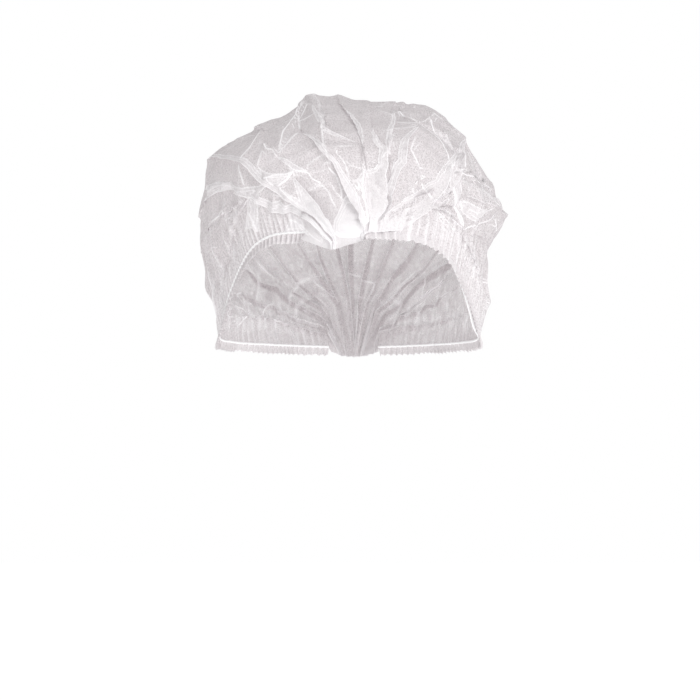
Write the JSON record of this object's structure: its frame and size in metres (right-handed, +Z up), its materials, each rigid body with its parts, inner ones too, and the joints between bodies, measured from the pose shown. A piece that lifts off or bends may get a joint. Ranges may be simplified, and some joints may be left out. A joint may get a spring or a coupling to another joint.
{
  "type": "disposable hair cover cap",
  "caption": "Thin non-woven bouffant cap: a pleated strip opened to fit a head, its pleats gathered at the forehead and nape, with elastic thread and a ruffled hem along each side.",
  "frame": {"origin": "centre of the head opening, between the ears, level with the elastic there", "axes": "+Z up through the crown, -Y towards the forehead, +X towards the right side as seen from the front; the longest side runs from forehead to nape along Y"},
  "size_m": [0.1856, 0.2261, 0.161],
  "materials": {
    "nonwoven": "thin white spun-bonded polypropylene, matt",
    "hem_fabric": "the same fabric, doubled and gathered",
    "elastic_thread": "white covered elastic, matt",
    "sealed_pleats": "the same fabric, pressed in many layers"
  },
  "bodies": {
    "root": {"crown": "nonwoven", "hem_left": "hem_fabric", "hem_right": "hem_fabric", "elastic_left": "elastic_thread", "elastic_right": "elastic_thread", "front_gather": "sealed_pleats", "nape_gather": "sealed_pleats"}
  },
  "joints": []
}
